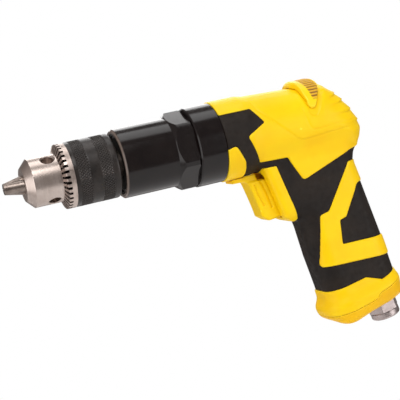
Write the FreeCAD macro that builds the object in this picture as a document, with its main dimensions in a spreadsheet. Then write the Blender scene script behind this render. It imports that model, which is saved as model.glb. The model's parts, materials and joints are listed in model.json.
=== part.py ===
"""Pistol-grip air drill with a 13 mm keyed chuck, as a parametric FreeCAD document.

Frame: millimetres, the spindle axis along X with the chuck towards -X, +Z up and the grip towards -Z.
The origin is the middle of the gear case's round nose, where a side handle clamps.
"""
import FreeCAD, Part
import math
import os
import re
import Sketcher
from FreeCAD import Placement, Rotation, Vector

doc = FreeCAD.newDocument("AirDrill")

# Driving dimensions: alias, value and what it is. Stations are X places along the spindle axis.
SIZES = [
    ("jaw_tip", -94.3, "station of the closed jaws' tips"),
    ("jaw_angle", 13.5, "slope of the jaws, degrees"),
    ("jaw_dia", 7.6, "jaw stock"),
    ("jaw_len", 43, "jaw length along its slope"),
    ("jaw_stroke", 27.4, "jaw travel along its slope"),
    ("chuck_clock", 2.4, "turn of the first key hole from +Y, degrees"),
    ("nose_face", -81.6, "front face of the chuck body"),
    ("nose_face_dia", 22.2, "diameter of that face"),
    ("nose_shoulder", -76.8, "end of the nose chamfer"),
    ("nose_dia", 32.1, "chuck nose"),
    ("key_plane", -64.3, "station of the key holes"),
    ("key_dia", 8, "key holes"),
    ("ring_front", -58.6, "inner edge of the toothed ring"),
    ("sleeve_front", -56.6, "outer edge of the toothed ring"),
    ("sleeve_rear", -20.8, "rear of the chuck sleeve"),
    ("sleeve_dia", 43, "chuck sleeve"),
    ("sleeve_bore", 37.3, "bore of the sleeve"),
    ("ring_teeth", 36, "teeth on the toothed ring"),
    ("nut_front", -57.5, "front of the chuck nut"),
    ("nut_len", 7, "length of the chuck nut"),
    ("thread_dia", 12, "spindle thread"),
    ("case_front", -18, "front face of the gear case"),
    ("case_dia", 46.2, "round nose of the gear case"),
    ("nose_end", 18.3, "end of the round nose"),
    ("hex_front", 21.5, "front of the hexagon"),
    ("hex_rear", 32.4, "rear of the hexagon"),
    ("hex_flats", 47, "hexagon across flats"),
    ("hex_turned", 52.6, "turned diameter of the hexagon"),
    ("spigot_dia", 48, "thread between gear case and collar"),
    ("spigot_end", 44, "rear of the gear case"),
    ("collar_dia", 53.8, "motor collar"),
    ("collar_rear", 51.2, "rear face of the collar"),
    ("collar_end", 68, "rear of the collar's tube inside the housing"),
    ("motor_bore", 41, "bore for ring gear and motor"),
    ("plate_front", 38, "front of the front end plate"),
    ("cylinder_front", 46, "front of the motor cylinder"),
    ("cylinder_rear", 84, "rear of the motor cylinder"),
    ("plate_rear", 92, "rear of the rear end plate"),
    ("rotor_dia", 25.4, "rotor"),
    ("chamber_dia", 30, "bore of the motor cylinder"),
    ("chamber_lift", 2, "height of that bore above the spindle axis"),
    ("vane_count", 5, "rotor vanes"),
    ("gear_module", 0.75, "module of all gears"),
    ("sun_teeth", 12, "teeth of both sun gears"),
    ("planet_teeth", 18, "teeth of the planets"),
    ("ring_gear_teeth", 48, "teeth of the ring gear"),
    ("gear_slack", 0.06, "flank clearance of each gear"),
    ("stage_2_front", 18, "front of the ring gear"),
    ("stage_1_front", 30.6, "front of the first stage's planets"),
    ("stage_1_rear", 37, "rear of the first stage's planets"),
    ("valve_front", 94, "front of the reversing valve"),
    ("valve_rear", 118, "rear of the reversing valve"),
    ("valve_dia", 34, "reversing valve"),
    ("housing_dia", 55.2, "front of the plastic housing"),
    ("lever_seat_dia", 50, "barrel under the reversing lever"),
    ("lever_dia", 59.6, "outside of the reversing lever"),
    ("lever_front", 111, "front of the reversing lever"),
    ("lever_rear", 128, "rear of the reversing lever"),
    ("lever_wrap", 68, "angle from the top to the lever's tabs, degrees"),
    ("neck_width", 36, "width of the housing over the trigger"),
    ("grip_width", 36, "width of the grip"),
    ("foot_rake", 11, "tilt of the foot, degrees"),
    ("foot_station", 134.5, "X of the foot's own origin"),
    ("foot_height", -131, "Z of the foot's own origin"),
    ("foot_length", 62, "length of the foot"),
    ("foot_width", 42, "width of the foot"),
    ("cap_top", 3, "seam of the exhaust cap in the foot's own axes"),
    ("cap_bottom", -6, "underside of the exhaust cap in the foot's own axes"),
    ("inlet_offset", 14.5, "inlet axis from the foot's origin"),
    ("inlet_dia", 20.6, "inlet bushing"),
    ("inlet_thread", 12.3, "1/4 in pipe thread, tapping size"),
    ("inlet_bottom", -18.5, "end of the inlet bushing in the foot's own axes"),
    ("rubber_depth", 1.4, "thickness of the soft overmould"),
    ("trigger_width", 16.8, "trigger"),
    ("rod_height", -42, "Z of the trigger rod"),
    ("rod_dia", 4, "trigger rod"),
    ("stem_station", 116, "X of the throttle valve's stem"),
    ("seat_height", -56, "Z of the throttle valve's seat face"),
    ("fit", 0.05, "radial clearance of running fits"),
]

sheet = doc.addObject("Spreadsheet::Sheet", "Sizes")
for row, (alias, value, meaning) in enumerate(SIZES, start=1):
    sheet.set(f"A{row}", alias)
    sheet.set(f"B{row}", str(value))
    sheet.set(f"C{row}", meaning)
    sheet.setAlias(f"B{row}", alias)
doc.recompute()
ALIASES = {alias for alias, _, _ in SIZES}

subparts = []  # the document's objects that are written out, one for each node


def bound(expression):
    """The expression with every size name pointing at its cell."""
    return re.sub(r"[a-z][a-z_0-9]*", lambda m: f"Sizes.{m[0]}" if m[0] in ALIASES else m[0], str(expression))


def val(expression):
    """The number that an expression of sizes gives."""
    return float(sheet.evalExpression(bound(expression)))


# ---------------------------------------------------------------- helpers

def outline_sketch(body, name, points, role):
    """A closed sketch of straight lines whose corners are bound to expressions."""
    plane = next(f for f in body.Origin.OriginFeatures if f.Role == role)
    sketch = body.newObject("Sketcher::SketchObject", name)
    sketch.AttachmentSupport = (plane, [""])
    sketch.MapMode = "FlatFace"
    corners = [Vector(val(a), val(b), 0) for a, b in points]
    count = len(corners)
    sketch.addGeometry([Part.LineSegment(corners[i], corners[(i + 1) % count]) for i in range(count)])
    joined = [Sketcher.Constraint("Coincident", i, 2, (i + 1) % count, 1) for i in range(count)]
    placed = []
    for i, corner in enumerate(corners):
        placed.append(Sketcher.Constraint("DistanceX", -1, 1, i, 1, corner.x))
        placed.append(Sketcher.Constraint("DistanceY", -1, 1, i, 1, corner.y))
    sketch.addConstraint(joined + placed)
    for i, (a, b) in enumerate(points):
        sketch.setExpression(f"Constraints[{count + 2 * i}]", bound(a))
        sketch.setExpression(f"Constraints[{count + 2 * i + 1}]", bound(b))
    return sketch


def turned(label, points, keep=True):
    """A body turned about the spindle axis; points are pairs of X station and radius."""
    body = doc.addObject("PartDesign::Body", label)
    sketch = outline_sketch(body, label + "_profile", points, "XZ_Plane")
    turn = body.newObject("PartDesign::Revolution", label + "_turned")
    turn.Profile = sketch
    turn.ReferenceAxis = (sketch, ["H_Axis"])
    turn.Angle = 360
    if keep:
        subparts.append(body)
    return body


def tube(label, front, rear, bore, outside, keep=True):
    """A plain ring; bore and outside are diameters."""
    return turned(label, [(front, f"({bore})/2"), (front, f"({outside})/2"),
                          (rear, f"({outside})/2"), (rear, f"({bore})/2")], keep)


def shaped(label, shape, placement=None):
    """A sub-part whose shape is worked out from the sheet by code."""
    feature = doc.addObject("Part::Feature", label)
    feature.Shape = shape
    if placement is not None:
        feature.Placement = placement
    subparts.append(feature)
    return feature


def made(body):
    """The finished shape of a body that other shapes are cut from."""
    doc.recompute()
    return body.Shape.copy()


def rod(start, end, radius):
    """A plain cylinder between two points."""
    start, end = Vector(*start), Vector(*end)
    return Part.makeCylinder(radius, (end - start).Length, start, end - start)


def ring(front, rear, inner, outer):
    """A plain ring about the spindle axis, as a shape, from radii."""
    return rod((front, 0, 0), (rear, 0, 0), outer).cut(rod((front - 1, 0, 0), (rear + 1, 0, 0), inner))


def around(shape, angle):
    """The shape turned about the spindle axis."""
    turned_shape = shape.copy()
    turned_shape.rotate(Vector(0, 0, 0), Vector(1, 0, 0), angle)
    return turned_shape


def plate(points, half_width):
    """An XZ outline extruded both ways along Y."""
    corners = [Vector(x, -half_width, z) for x, z in points]
    face = Part.Face(Part.makePolygon(corners + corners[:1]))
    return face.extrude(Vector(0, 2 * half_width, 0))


def fused(shapes):
    whole = shapes[0].fuse(shapes[1:])
    return whole.removeSplitter()


# ---------------------------------------------------------------- chuck

JAW_SLOPE = math.radians(val("jaw_angle"))
JAW_AXIS = Vector(math.cos(JAW_SLOPE), 0, math.sin(JAW_SLOPE))
JAW_TIP_RADIUS = 3.65  # outer edge of the closed jaws at their tips


def jaw_line(clearance, start, end):
    """A round bar along the slope of the jaw that points to +Z, between two lengths from the tip."""
    drop = JAW_TIP_RADIUS - val("jaw_dia") / 2 / math.cos(JAW_SLOPE)
    tip = Vector(val("jaw_tip"), 0, drop)
    first, last = tip + JAW_AXIS * start, tip + JAW_AXIS * end
    return Part.makeCylinder(val("jaw_dia") / 2 + clearance, (last - first).Length, first, JAW_AXIS)


def jaw():
    """One jaw: round bar, a 120 degree wedge where the three meet, a flat tip and a relieved back."""
    bar = jaw_line(0, -2, val("jaw_len"))
    gap = 0.15
    reach = 60.0
    side = math.tan(math.radians(60))
    corners = [Vector(val("jaw_tip"), 0, gap), Vector(val("jaw_tip"), reach * side, gap + reach),
               Vector(val("jaw_tip"), -reach * side, gap + reach)]
    wedge = Part.Face(Part.makePolygon(corners + corners[:1])).extrude(Vector(60, 0, 0))
    # the back of an open jaw stays inside the sleeve's bore
    shift = JAW_AXIS * val("jaw_stroke")
    start = Vector(-120, 0, 0) - shift
    inside = Part.makeCylinder(val("sleeve_bore") / 2 - 0.35, 140, start, Vector(1, 0, 0))
    return bar.common(wedge).common(inside)


def jaw_angles():
    """Turns about the spindle axis, from +Z, of the three jaws; they sit between the key holes."""
    return [val("chuck_clock") + 60 - 90 + 120 * i for i in range(3)]


for number, angle in enumerate(jaw_angles(), start=1):
    shaped(f"jaw_{number}", around(jaw(), angle))


def chuck_body():
    """Nose and core of the chuck with its jaw bores, nut groove, key holes and spindle thread."""
    blank = turned("chuck_blank", [
        ("nose_face", 0), ("nose_face", "nose_face_dia/2"), ("nose_shoulder", "nose_dia/2"),
        ("nut_front - 0.1", "nose_dia/2"), ("nut_front - 0.1", 12),
        ("nut_front + nut_len + 0.1", 12), ("nut_front + nut_len + 0.1", "sleeve_bore/2 - fit"),
        ("sleeve_rear - 0.4", "sleeve_bore/2 - fit"), ("sleeve_rear - 0.4", 0)], keep=False)
    body = made(blank)
    tools = [around(jaw_line(0.08, -4, val("jaw_len + jaw_stroke") + 0.6), a) for a in jaw_angles()]
    for i in range(3):
        hole = rod((val("key_plane"), 0, 0), (val("key_plane"), 20, 0), val("key_dia") / 2)
        hole = hole.cut(Part.makeBox(40, 9.5, 40, Vector(val("key_plane") - 20, 0, -20)))
        mouth = Part.makeCone(val("key_dia") / 2, val("key_dia") / 2 + 1.5, 1.5,
                              Vector(val("key_plane"), val("nose_dia") / 2 - 1.1, 0), Vector(0, 1, 0))
        tools += [around(hole.fuse(mouth), val("chuck_clock") + 120 * i)]
    tools.append(rod((-90, 0, 0), (-46, 0, 0), 4.6))
    tools.append(rod((-50, 0, 0), (-10, 0, 0), val("thread_dia") / 2))
    return body.cut(tools)


shaped("chuck_body", chuck_body())


def chuck_nut():
    """Thread nut in two halves; its cone rides along the backs of the jaws."""
    front, rear = val("nut_front"), val("nut_front + nut_len")
    slope = math.tan(JAW_SLOPE)

    def cone_radius(x):
        return JAW_TIP_RADIUS + (x - val("jaw_tip")) * slope + 0.12

    cone = Part.makeCone(cone_radius(front - 1), cone_radius(rear + 1), rear - front + 2,
                         Vector(front - 1, 0, 0), Vector(1, 0, 0))
    whole = rod((front, 0, 0), (rear, 0, 0), val("sleeve_bore") / 2).cut(cone)
    return whole.cut(Part.makeBox(20, 60, 0.3, Vector(front - 5, -30, -0.15)))


shaped("chuck_nut", chuck_nut())


def chuck_sleeve():
    """Toothed ring and gripping sleeve in one, with lower bands where the knurling is."""
    blank = turned("sleeve_blank", [
        ("ring_front", "nose_dia/2 + fit"), ("sleeve_front", "sleeve_dia/2"),
        ("sleeve_front + 5.4", "sleeve_dia/2"), ("sleeve_front + 5.6", "sleeve_dia/2 - 0.25"),
        ("sleeve_front + 8", "sleeve_dia/2 - 0.25"), ("sleeve_front + 8.2", "sleeve_dia/2"),
        ("sleeve_rear - 1.5", "sleeve_dia/2"), ("sleeve_rear - 0.4", "sleeve_dia/2 - 0.5"),
        ("sleeve_rear", "sleeve_dia/2 - 1.6"), ("sleeve_rear", "sleeve_bore/2"),
        ("nut_front", "sleeve_bore/2"), ("nut_front", "nose_dia/2 + fit")], keep=False)
    body = made(blank)
    mean = val("nose_dia + sleeve_dia") / 4
    teeth = int(val("ring_teeth"))
    half = 0.3 * 2 * math.pi * mean / teeth
    top, floor = val("ring_front") - 0.6, val("sleeve_front") - 0.1
    notch = Part.Face(Part.makePolygon([
        Vector(top - 1, val("nose_dia") / 2 - 2, -half * 1.7), Vector(floor, val("nose_dia") / 2 - 2, 0),
        Vector(top - 1, val("nose_dia") / 2 - 2, half * 1.7),
        Vector(top - 1, val("nose_dia") / 2 - 2, -half * 1.7)])).extrude(Vector(3.3, 9, 0))
    return body.cut([around(notch, 360 * i / teeth) for i in range(teeth)])


shaped("chuck_sleeve", chuck_sleeve())


def chuck_screw():
    """Left-hand screw, reached through the open jaws, that locks the chuck on the spindle."""
    head = rod((-48.5, 0, 0), (-44.2, 0, 0), 4.2)
    shank = rod((-44.2, 0, 0), (-34, 0, 0), 2.5)
    slot = Part.makeBox(1.6, 9, 1.2, Vector(-49, -4.5, -0.6))
    return head.fuse(shank).cut(slot)


shaped("chuck_screw", chuck_screw())


# ---------------------------------------------------------------- gears

def involute_angle(pressure):
    return math.tan(pressure) - pressure


def gear_wire(teeth, station, turn, space=False):
    """Outline of a gear, or with space=True of the hole in a ring gear, in the plane X = station."""
    module = val("gear_module")
    pitch = module * teeth / 2
    base = pitch * math.cos(math.radians(20))
    inner = pitch - (0.8 if space else 1.25) * module
    outer = pitch + (1.25 if space else 0.8) * module
    slack = val("gear_slack") / pitch * (1 if space else -1)

    def half_angle(radius):
        radius = max(radius, base)
        pressure = math.acos(base / radius)
        return math.pi / 2 / teeth + involute_angle(math.radians(20)) - involute_angle(pressure) + slack

    radii = [inner, max(base, inner + 0.02), (pitch + outer) / 2, outer]
    points = []
    for i in range(teeth):
        middle = math.radians(turn) + 2 * math.pi * i / teeth
        flank = [(r, half_angle(r)) for r in radii]
        for r, half in flank:
            points.append((r, middle - half))
        for r, half in reversed(flank):
            points.append((r, middle + half))
    corners = [Vector(station, r * math.cos(a), r * math.sin(a)) for r, a in points]
    return Part.makePolygon(corners + corners[:1])


def gear(teeth, front, rear, turn):
    face = Part.Face(gear_wire(teeth, front, turn))
    return face.extrude(Vector(rear - front, 0, 0))


SUN = int(val("sun_teeth"))
PLANET = int(val("planet_teeth"))
RING = int(val("ring_gear_teeth"))
CENTRES = val("gear_module") * (SUN + PLANET) / 2  # from spindle axis to planet axis
PLANET_ANGLES = [90, 210, 330]  # from +Y about X
STAGE_2_FRONT, STAGE_2_REAR = val("stage_2_front") + 0.4, val("stage_2_front") + 7.6
STAGE_1_FRONT, STAGE_1_REAR = val("stage_1_front"), val("stage_1_rear")


def planet_centre(angle, station):
    a = math.radians(angle)
    return (station, CENTRES * math.cos(a), CENTRES * math.sin(a))


def planet(front, rear, angle):
    """A planet gear whose tooth gap faces the sun and whose bore runs on a pin."""
    toothed = gear(PLANET, front, rear, angle + 180 / PLANET)
    toothed.translate(Vector(*planet_centre(angle, 0)))
    return toothed.cut(rod(planet_centre(angle, front - 1), planet_centre(angle, rear + 1), 2 + val("fit")))


def pins(front, rear):
    return Part.makeCompound([rod(planet_centre(a, front), planet_centre(a, rear), 2) for a in PLANET_ANGLES])


def ring_gear():
    """One internal gear for both stages."""
    front, rear = val("stage_2_front"), val("plate_front")
    teeth = Part.Face(gear_wire(RING, front - 1, 90 + 180 / RING, space=True))
    hole = teeth.extrude(Vector(rear - front + 2, 0, 0))
    return rod((front, 0, 0), (rear, 0, 0), val("motor_bore") / 2).cut(hole)


def stage_1_carrier():
    """Disc that carries the first planets, with the second stage's sun gear in front of it."""
    disc = rod((26.4, 0, 0), (30, 0, 0), 15.5)
    sun = gear(SUN, STAGE_2_FRONT, 26.6, 90)
    holes = [rod(planet_centre(a, 26), planet_centre(a, 31), 2) for a in PLANET_ANGLES]
    return disc.fuse(sun).cut(holes + [rod((10, 0, 0), (40, 0, 0), 1.5)])


for number, angle in enumerate(PLANET_ANGLES, start=1):
    shaped(f"stage_2_planet_{number}", planet(STAGE_2_FRONT, STAGE_2_REAR - 0.6, angle))
    shaped(f"stage_1_planet_{number}", planet(STAGE_1_FRONT, STAGE_1_REAR, angle))
shaped("stage_2_pins", pins(13.5, STAGE_2_REAR - 0.2))
shaped("stage_1_pins", pins(26.4, STAGE_1_REAR + 0.4))
shaped("ring_gear", ring_gear())
shaped("stage_1_carrier", stage_1_carrier())


# ---------------------------------------------------------------- spindle, bearings, gear case

def spindle():
    """Output spindle: chuck thread, bearing seats and the second stage's carrier disc."""
    blank = turned("spindle_blank", [
        (-44, 0), (-44, "thread_dia/2"), ("sleeve_rear - 0.4", "thread_dia/2"), ("sleeve_rear - 0.4", 8.5),
        (-13, 8.5), (-13, 7.5), (11, 7.5), (12, 9.5), (12, 16), (17.4, 16), (17.4, 0)], keep=False)
    holes = [rod(planet_centre(a, 12), planet_centre(a, 18), 2) for a in PLANET_ANGLES]
    return made(blank).cut(holes + [rod((-45, 0, 0), (-33, 0, 0), 2.5)])


shaped("spindle", spindle())


def ball_bearing(name, front, rear, bore, outside, balls):
    """Deep-groove bearing as three nodes: outer ring, inner ring and the ring of balls."""
    middle = (front + rear) / 2
    pitch = (bore + outside) / 4
    ball = (outside - bore) * 0.15
    track = Part.makeTorus(pitch, ball + 0.04, Vector(middle, 0, 0), Vector(1, 0, 0))
    shaped(f"{name}_outer", ring(front, rear, pitch + ball * 0.62, outside / 2).cut(track))
    shaped(f"{name}_inner", ring(front, rear, bore / 2, pitch - ball * 0.62).cut(track))
    at = [2 * math.pi * i / balls for i in range(balls)]
    shaped(f"{name}_balls", Part.makeCompound([
        Part.makeSphere(ball, Vector(middle, pitch * math.cos(a), pitch * math.sin(a))) for a in at]))


ball_bearing("spindle_bearing_front", -13, -2, 15, 35, 9)
ball_bearing("spindle_bearing_rear", 2, 11, 15, 32, 9)
ball_bearing("rotor_bearing_front", 39, 46, 8, 22, 7)
ball_bearing("rotor_bearing_rear", 84, 91, 8, 22, 7)

tube("retaining_ring", -14.4, -13, 29, 37)
tube("dust_seal", -16, -14.5, "17 + 2*fit", 35)


HEX_TURN = 20  # turn of a hexagon corner from +Y about X, degrees


def gear_case():
    """Black steel gear case: round nose, hexagon for the wrench and threaded spigot."""
    blank = turned("case_blank", [
        ("case_front", 20.4), ("case_front", "case_dia/2 - 1"), ("case_front + 1", "case_dia/2"),
        ("nose_end", "case_dia/2"), ("hex_front", "hex_turned/2"), ("hex_rear - 1.2", "hex_turned/2"),
        ("hex_rear", "hex_turned/2 - 1.2"), ("hex_rear", "spigot_dia/2"), ("spigot_end", "spigot_dia/2"),
        ("spigot_end", "motor_bore/2"), ("stage_2_front", "motor_bore/2"), ("stage_2_front", 17),
        (11, 17), (11, 16), (2, 16), (2, 12), (-2, 12), (-2, 17.5), (-13, 17.5), (-13, 18.5), (-14.4, 18.5),
        (-14.4, 17.5), (-16, 17.5), (-16, 20.4)], keep=False)
    body = made(blank)
    flats = rod((val("nose_end"), 0, 0), (val("hex_rear") + 2, 0, 0), 40)
    size = val("hex_flats") / 2 / math.cos(math.radians(30))
    corners = [Vector(val("nose_end") - 1, size * math.cos(math.radians(a)), size * math.sin(math.radians(a)))
               for a in range(HEX_TURN, 360 + HEX_TURN, 60)]
    hexagon = Part.Face(Part.makePolygon(corners + corners[:1])).extrude(Vector(40, 0, 0))
    return body.cut(flats.cut(hexagon))


shaped("gear_case", gear_case())

turned("motor_collar", [
    ("hex_rear", "spigot_dia/2"), ("hex_rear", "collar_dia/2 - 0.8"), ("hex_rear + 0.8", "collar_dia/2"),
    ("collar_rear - 0.6", "collar_dia/2"), ("collar_rear", "collar_dia/2 - 0.6"), ("collar_rear", "spigot_dia/2"),
    ("collar_end", "spigot_dia/2"), ("collar_end", "motor_bore/2"), ("spigot_end", "motor_bore/2"),
    ("spigot_end", "spigot_dia/2")])


# ---------------------------------------------------------------- air motor

turned("front_end_plate", [
    ("plate_front", 7), ("plate_front", "motor_bore/2"), ("cylinder_front", "motor_bore/2"),
    ("cylinder_front", 11), ("cylinder_front - 7", 11), ("cylinder_front - 7", 7)])
turned("rear_end_plate", [
    ("cylinder_rear", 11), ("cylinder_rear", "motor_bore/2"), ("plate_rear", "motor_bore/2"),
    ("plate_rear", 5), ("cylinder_rear + 7", 5), ("cylinder_rear + 7", 11)])


def motor_cylinder():
    """Liner with an off-centre bore, inlet ports low on both sides and an exhaust slot on top."""
    front, rear = val("cylinder_front"), val("cylinder_rear")
    lift = val("chamber_lift")
    chamber = rod((front - 1, 0, lift), (rear + 1, 0, lift), val("chamber_dia") / 2)
    ports = [rod((x, 0, 0), (x, 25 * side, -14), 1.5) for x in (55, 61, 67, 73) for side in (-1, 1)]
    exhausts = [rod((x, 0, 0), (x, 0, 25), 2) for x in (57, 65, 73)]
    return rod((front, 0, 0), (rear, 0, 0), val("motor_bore") / 2).cut([chamber] + ports + exhausts)


shaped("motor_cylinder", motor_cylinder())
VANE_ANGLES = [360 * i / val("vane_count") for i in range(int(val("vane_count")))]


def vane(thickness, floor):
    top = val("rotor_dia") / 2 - 0.1
    front, rear = val("cylinder_front") + 0.4, val("cylinder_rear") - 0.4
    return Part.makeBox(rear - front, thickness, top - floor, Vector(front, -thickness / 2, floor))


def rotor():
    """Slotted rotor with its shaft and the first stage's sun gear cut on the front end."""
    front, rear = val("cylinder_front") + 0.3, val("cylinder_rear") - 0.3
    drum = rod((front, 0, 0), (rear, 0, 0), val("rotor_dia") / 2)
    shaft = rod((STAGE_1_REAR + 1.2, 0, 0), (val("plate_rear") - 1.2, 0, 0), 4)
    pinion = gear(SUN, STAGE_1_FRONT, STAGE_1_REAR + 1.4, 90)
    slot = Part.makeBox(rear - front + 2, 2.1, 8, Vector(front - 1, -1.05, 6.5))
    return fused([drum, shaft, pinion]).cut([around(slot, a) for a in VANE_ANGLES])


shaped("rotor", rotor())
shaped("rotor_vanes", Part.makeCompound([around(vane(2.0, 6.8), a) for a in VANE_ANGLES]))


# ---------------------------------------------------------------- reversing gear

PIN_STATION = 115  # X of the pin that ties the lever to the valve
DETENT_STATION = 104  # X of the detent ball
DETENT_ANGLES = (168, 180, 192)


def reverse_valve():
    """Rotary valve sleeve with two port windows, and a lane with three seats for the detent ball."""
    front, rear = val("valve_front"), val("valve_rear")
    sleeve = ring(front, rear, 11, val("valve_dia") / 2 - val("fit"))
    windows = [around(rod((front + 7, 0, 0), (front + 7, 0, -20), 4), a) for a in (-40, 40)]
    pin_hole = rod((PIN_STATION, 0, 10), (PIN_STATION, 0, 20), 2)
    notch = rod((DETENT_STATION, 0, 10), (DETENT_STATION, 0, 20), 1.9)
    notch = notch.cut(rod((90, 0, 0), (120, 0, 0), 15.3))
    notches = [around(notch, a) for a in DETENT_ANGLES]
    lane = around(lever_sector(15.6, 20, DETENT_STATION - 1.75, DETENT_STATION + 1.75, 13), 180)
    return sleeve.cut(windows + [pin_hole, lane] + notches)


def lever_sector(inner, outer, front, rear, wrap):
    """Part of a ring about the spindle axis, centred on +Z, out to wrap degrees on each side."""
    corners = [Vector(x, 0, z) for x, z in ((front, inner), (rear, inner), (rear, outer), (front, outer))]
    face = Part.Face(Part.makePolygon(corners + corners[:1]))
    sector = face.revolve(Vector(0, 0, 0), Vector(1, 0, 0), 2 * wrap)
    return around(sector, -wrap)


def reverse_lever():
    """Saddle across the top of the barrel: broad crown, ribbed behind, with a narrow tab on each side."""
    inner, outer = val("lever_seat_dia") / 2 + 0.3, val("lever_dia") / 2
    front, rear = val("lever_front"), val("lever_rear")
    crown = lever_sector(inner, outer, front, rear, 34)
    band = lever_sector(inner, outer - 1.6, front + 5, rear - 1.5, val("lever_wrap"))
    groove = Part.makeBox(9, 1.2, 3, Vector(rear - 9.5, -0.6, outer - 0.9))
    ribs = [around(groove, a) for a in range(-30, 31, 6)]
    pin_hole = rod((PIN_STATION, 0, 10), (PIN_STATION, 0, 27), 2)
    return fused([crown, band]).cut(ribs + [pin_hole])


shaped("reverse_valve", reverse_valve())
shaped("reverse_lever", reverse_lever())
shaped("lever_pin", rod((PIN_STATION, 0, 13), (PIN_STATION, 0, 27), 2))
shaped("detent_ball", Part.makeSphere(1.7, Vector(DETENT_STATION, 0, -17.35)))
shaped("detent_spring", Part.makeCompound([
    Part.makeTorus(1.3, 0.35, Vector(DETENT_STATION, 0, -19.6 - i), Vector(0, 0, 1)) for i in range(4)]))


# ---------------------------------------------------------------- housing and grip

def foot_place():
    """Placement of the foot's own axes: raked, with its z axis up along the grip."""
    return Placement(Vector(val("foot_station"), 0, val("foot_height")),
                     Rotation(Vector(0, 1, 0), -val("foot_rake")))


def at_foot(shape):
    moved = shape.copy()
    moved.Placement = foot_place().multiply(moved.Placement)
    return moved


def rounded_slab(length, width, corner, bottom, top):
    """An upright slab with round corners, centred on z of its own axes."""
    x, y = length / 2, width / 2
    block = Part.makeBox(length, width, top - bottom, Vector(-x, -y, bottom))
    uprights = [e for e in block.Edges if abs(e.tangentAt(e.FirstParameter).z) > 0.99]
    return block.makeFillet(corner, uprights)


def grip_section(front, rear, height, inset):
    """Round-cornered wire across the grip at one height."""
    half_x = (rear - front) / 2 - inset
    half_y = val("grip_width") / 2 - inset
    corner = 15 - inset
    slab = rounded_slab(2 * half_x, 2 * half_y, corner, 0, 1)
    face = min(slab.Faces, key=lambda f: f.CenterOfMass.z)
    wire = face.OuterWire
    wire.translate(Vector((front + rear) / 2, 0, height))
    return wire


def housing_form(inset):
    """Outside of the housing, drawn in by inset all over."""
    barrel = Part.Face(Part.makePolygon([Vector(x, 0, r) for x, r in [
        (val("collar_rear"), 0), (val("collar_rear"), val("housing_dia") / 2 - inset),
        (71, 27.6 - inset), (76.4, 26.4 - inset), (109, 25 - inset), (131, 25 - inset),
        (138 - inset, 20.9), (143.5 - inset, 15.9), (148.2 - inset, 10.2), (152 - inset, 3),
        (153 - inset, 0), (val("collar_rear"), 0)]])).revolve(Vector(0, 0, 0), Vector(1, 0, 0), 360)
    side = plate([(79 + inset, -20), (85.4 + inset, -59.6), (94, -64 + inset), (101, -66.5 + inset),
                  (101, -72), (140, -72), (150.6 - inset, -49), (147 - inset, -33), (149.6 - inset, -24),
                  (156.6 - inset, -15), (157.4 - inset, -10), (152.6 - inset, 2.6), (146 - inset, 5), (95, 5)],
                 val("neck_width") / 2 - inset)
    plan = Part.makeBox(157.4 - 79 - 2 * inset, val("neck_width") - 2 * inset, 80,
                        Vector(79 + inset, inset - val("neck_width") / 2, -74))
    corners = [e for e in plan.Edges if e.BoundBox.ZLength > 70 and e.BoundBox.XMin > 100]
    neck = side.common(plan.makeFillet(14, corners))
    sections = ((97.4, 151.4, -52), (98.6, 155.4, -80), (103.6, 163, -117), (105.6, 166, -140))
    grip = Part.makeLoft([grip_section(*section, inset) for section in sections], True, True)
    above_foot = at_foot(Part.makeBox(200, 100, 200, Vector(-100, -50, val("cap_top"))))
    return fused([barrel, neck, grip.common(above_foot)])


TOE = [(-33.4, 5.7), (-20.3, -12), (-50, -12), (-50, 5.7)]  # what is bevelled off the front, in foot axes


def foot_flange():
    slab = rounded_slab(val("foot_length"), val("foot_width"), 20.5, val("cap_top"), 12)
    return at_foot(slab.cut(plate(TOE, 40)))


# one side of the soft overmould, as corner points of its outline seen from the side
RUBBER_OUTLINE = [
    (51.2, 19), (74, 18), (82.5, 7.5), (69, 0), (73.6, -18.3), (92.8, -18.9), (101.9, -37.5), (140.4, -23.1),
    (149, -27), (136.2, -31.7), (116, -61.5), (109.2, -63.2), (103.9, -96.4), (105.6, -99.1), (170, -101),
    (170, -109), (143.9, -115.8), (133.6, -112), (118.9, -114.7), (96, -113.6), (91.2, -69.1), (93.8, -61.7),
    (84.3, -23.2), (64, -22.5), (64.7, -15.9), (59.6, -4.2), (51.2, -7.5)]
RUBBER_PATCH = [(144, -44), (128.6, -68.6), (124, -69.6), (122.7, -86.2), (170, -87.5), (170, -44)]

FORM = housing_form(0)
INNER_FORM = housing_form(val("rubber_depth"))
RUBBER = FORM.cut(INNER_FORM).common(plate(RUBBER_OUTLINE, 40).fuse(plate(RUBBER_PATCH, 40)))


def foot_rod(along, low, high, radius, across=0):
    return at_foot(rod((along, across, low), (along, across, high), radius))


SCREW_PLACES = [(-15, -13), (-15, 13), (5, -13.5), (5, 13.5)]  # cap screws in the foot's own axes


def housing_cavities():
    """Everything bored into the housing."""
    station = val("stem_station")
    lift = val("rod_height")
    offset = val("inlet_offset")
    pocket = val("trigger_width") + 0.8
    tools = [
        rod((50, 0, 0), (val("collar_end"), 0, 0), val("spigot_dia") / 2),
        rod((60, 0, 0), (val("plate_rear"), 0, 0), val("motor_bore") / 2),
        rod((90, 0, 0), (val("valve_rear") + 2, 0, 0), val("valve_dia") / 2),
        lever_sector(10, 26, 112.9, 117.1, 23),
        rod((DETENT_STATION, 0, -24), (DETENT_STATION, 0, -15), 1.8),
        Part.makeBox(27, pocket, 33.4, Vector(70, -pocket / 2, -60.2)),
        rod((90, 0, lift), (108.5, 0, lift), 4),
        rod((station, 0, -75), (station, 0, -34), 8.5),
        rod((station, 0, -40), (station, 0, -10), 4),
        rod((station, 0, -68), (142, 0, -68), 5),
        foot_rod(offset, -5, 20, val("inlet_dia") / 2 - 2),
        foot_rod(offset, 18, 64, 6.5),
        foot_rod(-12, -5, 45, 10.5),
    ]
    tools += [foot_rod(x, -5, 11, 1.4, y) for x, y in SCREW_PLACES]
    return tools


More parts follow.
